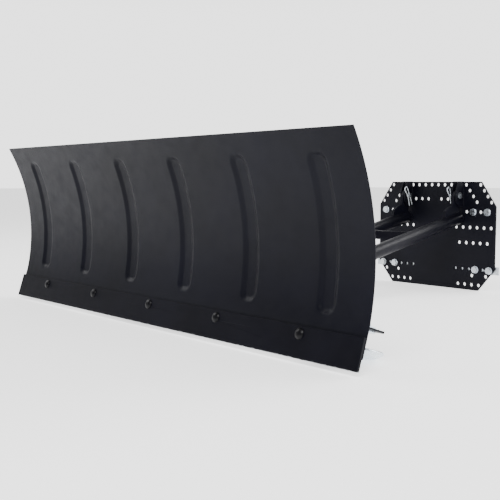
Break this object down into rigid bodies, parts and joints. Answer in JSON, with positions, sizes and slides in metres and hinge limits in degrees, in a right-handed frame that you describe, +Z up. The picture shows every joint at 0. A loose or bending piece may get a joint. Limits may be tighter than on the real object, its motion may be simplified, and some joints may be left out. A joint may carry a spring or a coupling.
{
  "type": "atv plow blade",
  "caption": "Snow plow blade for a small off-road vehicle: ribbed curved moldboard on a spring trip hinge and swivel, push tubes and a perforated mount plate.",
  "frame": {"origin": "on the ground, below the middle of the bounding box", "axes": "+X along the blade, to the right for someone who faces its front; +Y back towards the vehicle; +Z up"},
  "size_m": [1.27, 1.1444, 0.423],
  "materials": {
    "blade_paint": "satin black powder coat",
    "wear_paint": "satin black, worn at the lower edge",
    "frame_paint": "semi-gloss black powder coat",
    "plate_paint": "satin black powder coat",
    "dark_bolt": "black oxide",
    "zinc": "zinc plated",
    "spring_steel": "oiled spring steel"
  },
  "bodies": {
    "push_frame": {"front_cross_bar": "frame_paint", "hitch_lug_left": "blade_paint", "hitch_lug_right": "blade_paint", "king_pin": "zinc", "king_pin_nut": "zinc", "lift_tab": "blade_paint", "push_tube_left": "frame_paint", "push_tube_right": "frame_paint", "rear_cross_member": "frame_paint", "swivel_base": "blade_paint"},
    "mount": {"clamp_bar_left": "zinc", "clamp_bar_right": "zinc", "hairpin_left": "zinc", "hairpin_right": "zinc", "hitch_pin_left": "zinc", "hitch_pin_right": "zinc", "mount_ear_left_inner": "plate_paint", "mount_ear_left_outer": "plate_paint", "mount_ear_right_inner": "plate_paint", "mount_ear_right_outer": "plate_paint", "mount_plate": "plate_paint", "plate_bolts": "zinc", "plate_nuts": "zinc", "plate_washers": "zinc"},
    "swivel_head": {"eyebolt_nuts": "zinc", "hinge_knuckle_left": "blade_paint", "hinge_knuckle_right": "blade_paint", "lock_housing": "blade_paint", "spring_anchor": "blade_paint", "spring_eyebolt_left": "zinc", "spring_eyebolt_right": "zinc", "swivel_plate": "blade_paint"},
    "lock": {"lock_pin": "zinc"},
    "blade": {"back_gusset_left_inner": "blade_paint", "back_gusset_left_outer": "blade_paint", "back_gusset_right_inner": "blade_paint", "back_gusset_right_outer": "blade_paint", "hinge_pin_left": "zinc", "hinge_pin_right": "zinc", "moldboard": "blade_paint", "skid_bracket_left": "blade_paint", "skid_bracket_right": "blade_paint", "spring_lug_left": "blade_paint", "spring_lug_right": "blade_paint", "top_stiffener": "blade_paint", "wear_bar": "wear_paint", "wear_bar_bolts": "dark_bolt", "wear_bar_nuts": "zinc"},
    "spring_left": {"trip_spring_left": "spring_steel"},
    "skid_left": {"skid_shoe_left": "zinc", "skid_spacers_left": "zinc", "skid_cross_pin_left": "zinc"},
    "spring_right": {"trip_spring_right": "spring_steel"},
    "skid_right": {"skid_shoe_right": "zinc", "skid_spacers_right": "zinc", "skid_cross_pin_right": "zinc"}
  },
  "joints": [
    {"name": "mount_fold", "type": "hinge", "parent": "push_frame", "child": "mount", "pos_m": [0, 0.5246, 0.288], "axis": [1, 0, 0], "range_deg": [0, 110]},
    {"name": "blade_angle", "type": "hinge", "parent": "push_frame", "child": "swivel_head", "pos_m": [0, -0.3214, 0.1035], "axis": [0, 0, 1], "range_deg": [-25, 25]},
    {"name": "angle_lock", "type": "slide", "parent": "swivel_head", "child": "lock", "axis": [0, 0, 1], "range_m": [-0.02, 0]},
    {"name": "blade_trip", "type": "hinge", "parent": "swivel_head", "child": "blade", "pos_m": [0, -0.4664, 0.1115], "axis": [1, 0, 0], "range_deg": [0, 45], "stiffness_Nm_per_rad": 60, "springref_deg": -34.38, "deforming": ["trip_spring_left", "trip_spring_right"]},
    {"name": "spring_swing_left", "type": "hinge", "parent": "swivel_head", "child": "spring_left", "pos_m": [-0.062, -0.3744, 0.1345], "axis": [1, 0, 0], "range_deg": [0, 35]},
    {"name": "spring_swing_right", "type": "hinge", "parent": "swivel_head", "child": "spring_right", "pos_m": [0.062, -0.3744, 0.1345], "axis": [1, 0, 0], "range_deg": [0, 35]},
    {"name": "skid_turn_left", "type": "hinge", "parent": "blade", "child": "skid_left", "pos_m": [-0.554, -0.4424, 0.0595], "axis": [0, 0.309, 0.9511], "continuous": true},
    {"name": "skid_turn_right", "type": "hinge", "parent": "blade", "child": "skid_right", "pos_m": [0.554, -0.4424, 0.0595], "axis": [0, 0.309, 0.9511], "continuous": true}
  ],
  "couplings": [
    {"joint": "spring_swing_left", "follows": "blade_trip", "ratio": 0.763},
    {"joint": "spring_swing_right", "follows": "blade_trip", "ratio": 0.763}
  ]
}
